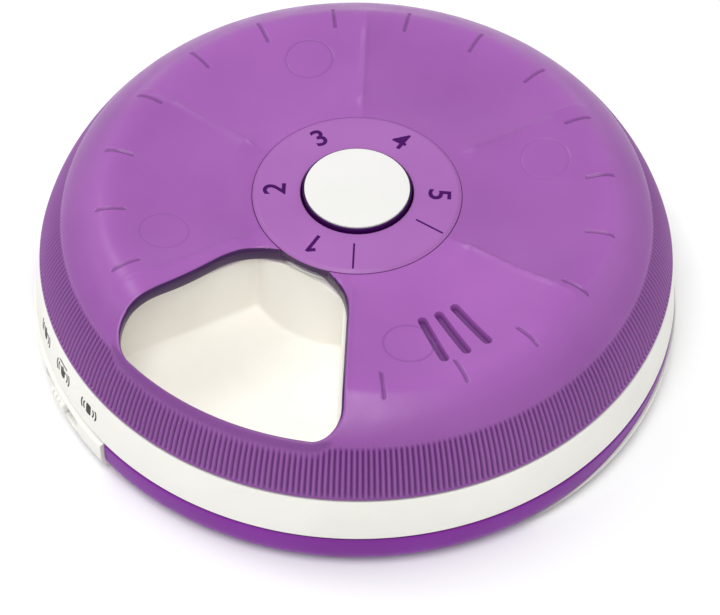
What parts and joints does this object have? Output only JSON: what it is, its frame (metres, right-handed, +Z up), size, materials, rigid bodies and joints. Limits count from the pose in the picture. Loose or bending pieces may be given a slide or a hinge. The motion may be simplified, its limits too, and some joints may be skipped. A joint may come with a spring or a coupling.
{
  "type": "pill organizer",
  "caption": "Round pocket pill organizer with a turning lid, a central button and a reminder alarm in its base.",
  "frame": {"origin": "centre of the foot ring, on the surface that the organizer stands on", "axes": "+Z up, along the axis that the lid turns about; the lid's opening at rest faces -Y, a little to -X"},
  "size_m": [0.0924, 0.0918, 0.0265],
  "materials": {
    "lid_purple": "satin",
    "base_purple": "satin",
    "housing_white": "satin",
    "tray_white": "satin",
    "cap_white": "satin",
    "board": "satin",
    "dark_plastic": "matte",
    "rubber": "matte",
    "display": "gloss",
    "window": "gloss",
    "steel": "satin",
    "brass": "satin",
    "lead_red": "satin",
    "lead_black": "satin"
  },
  "bodies": {
    "housing": {"tray": "tray_white", "housing_ring": "housing_white", "base_shell": "base_purple", "left_panel": "housing_white", "right_panel": "housing_white", "number_disc": "lid_purple", "glide_washer": "cap_white", "button_spring": "steel", "slide_switch": "steel", "circuit_board": "board", "controller_chip": "dark_plastic", "tact_switch": "dark_plastic", "display_glass": "display", "display_window": "window", "contact_strip_1": "rubber", "contact_strip_2": "rubber", "key_mat": "rubber", "buzzer": "brass", "coin_cell": "steel", "top_contact": "brass", "side_contact": "brass", "motor_can": "steel", "motor_bracket": "steel", "motor_lead_1": "lead_red", "motor_lead_2": "lead_black", "disc_screw_1": "steel", "disc_screw_2": "steel", "disc_screw_3": "steel", "base_screw_1": "steel", "base_screw_2": "steel", "base_screw_3": "steel", "base_screw_4": "steel"},
    "lid": {"lid": "lid_purple"},
    "button": {"button_body": "base_purple", "button_inlay": "cap_white", "button_stem": "cap_white"},
    "slider": {"mode_slider": "housing_white"},
    "door": {"battery_door": "base_purple"},
    "rotor": {"motor_weight": "brass"},
    "key_1": {"set_key_1": "rubber"},
    "key_2": {"set_key_2": "rubber"},
    "key_3": {"set_key_3": "rubber"},
    "key_4": {"set_key_4": "rubber"}
  },
  "joints": [
    {"name": "lid_turn", "type": "hinge", "parent": "housing", "child": "lid", "pos_m": [0, 0, 0.02], "axis": [0, 0, 1], "continuous": true},
    {"name": "button_press", "type": "slide", "parent": "housing", "child": "button", "axis": [0, 0, -1], "range_m": [0, 0.0009], "stiffness_N_per_m": 900, "springref_m": -0.0006, "deforming": ["button_spring"]},
    {"name": "mode_slide", "type": "slide", "parent": "housing", "child": "slider", "axis": [0.4848, -0.8746, 0], "range_m": [-0.003, 0.003]},
    {"name": "door_turn", "type": "hinge", "parent": "housing", "child": "door", "pos_m": [0, -0.02, 0.002], "axis": [0, 0, 1], "range_deg": [0, 60]},
    {"name": "motor_spin", "type": "hinge", "parent": "housing", "child": "rotor", "pos_m": [0.01685, -0.02918, 0.0152], "axis": [0.5, -0.866, 0], "continuous": true},
    {"name": "key_1_press", "type": "slide", "parent": "housing", "child": "key_1", "axis": [0, 0, 1], "range_m": [0, 0.0006], "stiffness_N_per_m": 500, "springref_m": -0.0004},
    {"name": "key_2_press", "type": "slide", "parent": "housing", "child": "key_2", "axis": [0, 0, 1], "range_m": [0, 0.0006], "stiffness_N_per_m": 500, "springref_m": -0.0004},
    {"name": "key_3_press", "type": "slide", "parent": "housing", "child": "key_3", "axis": [0, 0, 1], "range_m": [0, 0.0006], "stiffness_N_per_m": 500, "springref_m": -0.0004},
    {"name": "key_4_press", "type": "slide", "parent": "housing", "child": "key_4", "axis": [0, 0, 1], "range_m": [0, 0.0006], "stiffness_N_per_m": 500, "springref_m": -0.0004}
  ]
}
